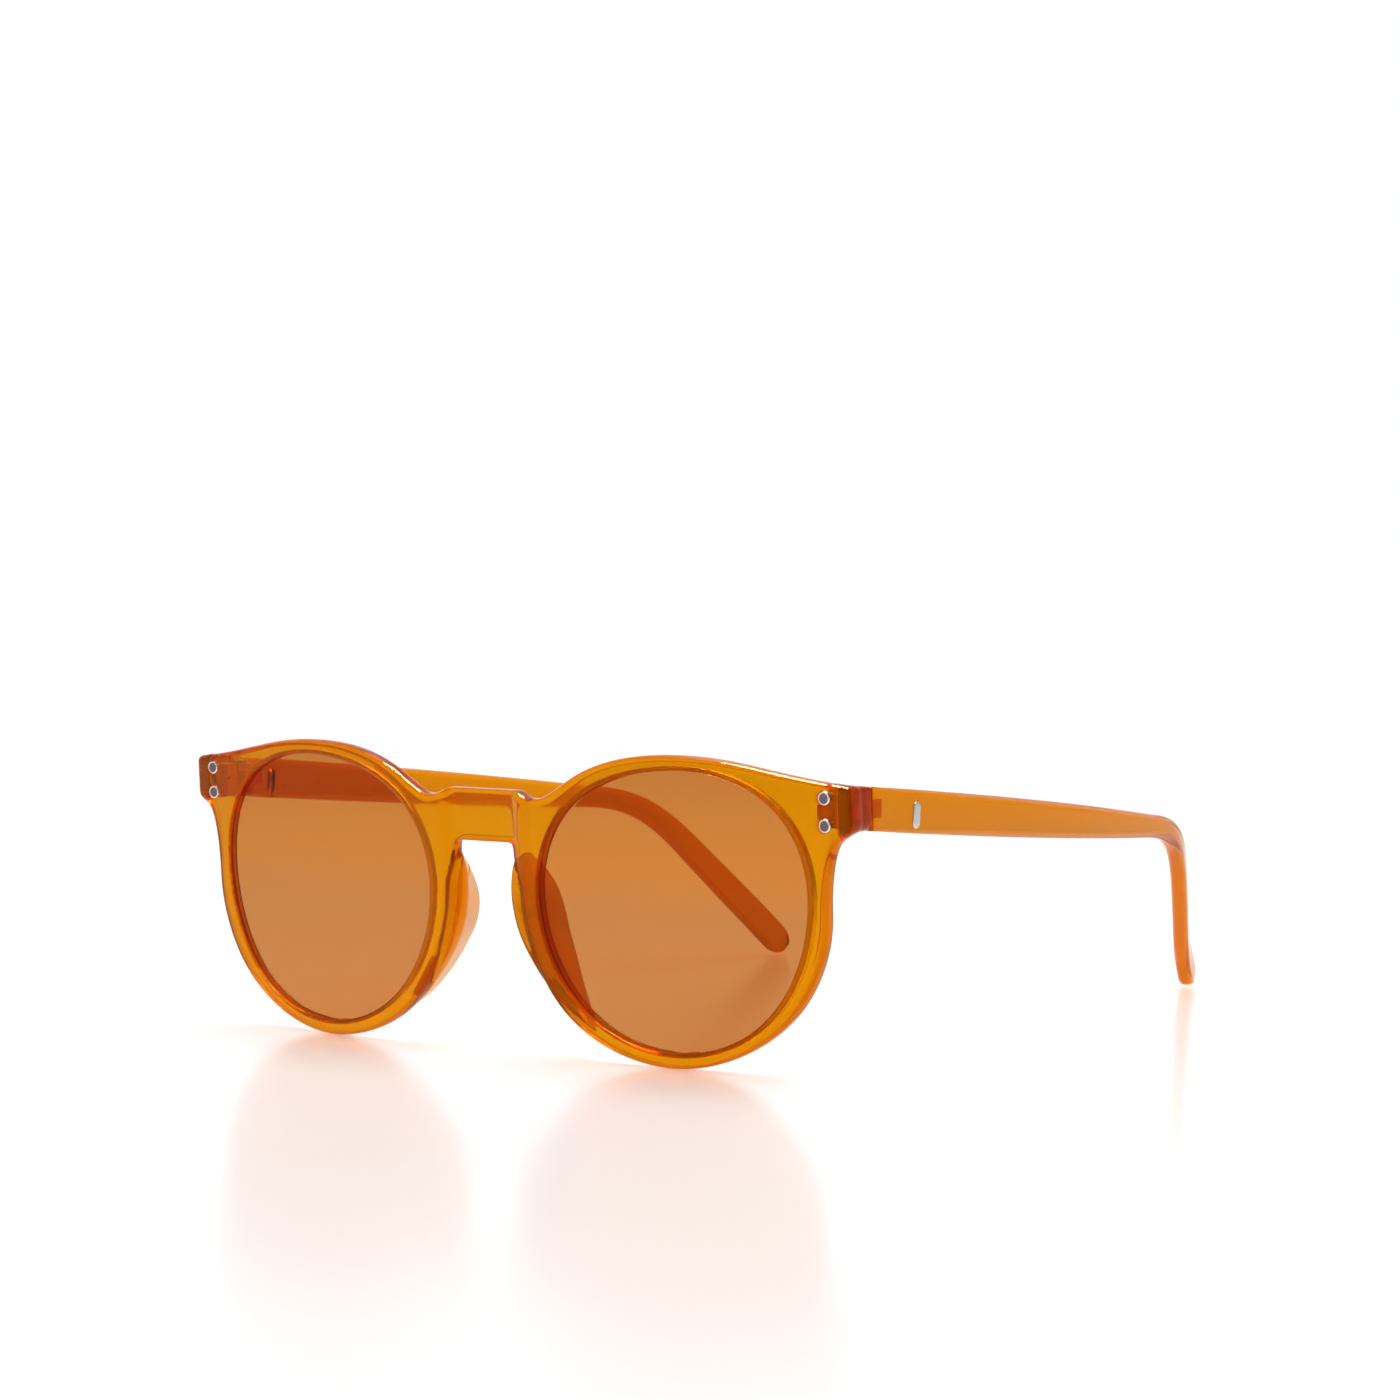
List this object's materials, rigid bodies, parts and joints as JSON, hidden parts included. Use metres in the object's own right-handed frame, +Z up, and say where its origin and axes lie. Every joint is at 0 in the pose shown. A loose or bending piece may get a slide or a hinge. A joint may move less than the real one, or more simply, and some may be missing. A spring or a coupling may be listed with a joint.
{
  "type": "sunglasses",
  "caption": "Round keyhole-bridge sunglasses: translucent amber plastic front, tinted lenses, nose pads and two folding temples with ear bends.",
  "frame": {"origin": "centre of the footprint at the surface the glasses stand on, in the symmetry plane", "axes": "+X towards the wearer's left temple, +Y from the lenses back along the temples, +Z up"},
  "size_m": [0.1358, 0.1498, 0.0492],
  "materials": {
    "amber_plastic": "polished translucent amber",
    "hinge_plastic": "moulded amber, darker",
    "tinted_lens": "polished brown-amber tint, plastic lens",
    "steel": "satin"
  },
  "bodies": {
    "front": {"front_frame": "amber_plastic", "lens_left": "tinted_lens", "nose_pad_left": "amber_plastic", "front_hinge_left": "hinge_plastic", "hinge_screw_left": "steel", "rivet_upper_left": "steel", "rivet_lower_left": "steel", "lens_right": "tinted_lens", "nose_pad_right": "amber_plastic", "front_hinge_right": "hinge_plastic", "hinge_screw_right": "steel", "rivet_upper_right": "steel", "rivet_lower_right": "steel"},
    "left_temple": {"temple_left": "amber_plastic", "temple_hinge_left": "hinge_plastic", "temple_inlay_left": "steel"},
    "right_temple": {"temple_right": "amber_plastic", "temple_hinge_right": "hinge_plastic", "temple_inlay_right": "steel"}
  },
  "joints": [
    {"name": "temple_left_fold", "type": "hinge", "parent": "front", "child": "left_temple", "pos_m": [0.06185, -0.06259, 0.04127], "axis": [0, 0, 1], "range_deg": [0, 84.5]},
    {"name": "temple_right_fold", "type": "hinge", "parent": "front", "child": "right_temple", "pos_m": [-0.06185, -0.06259, 0.04127], "axis": [0, 0, -1], "range_deg": [0, 76]}
  ]
}
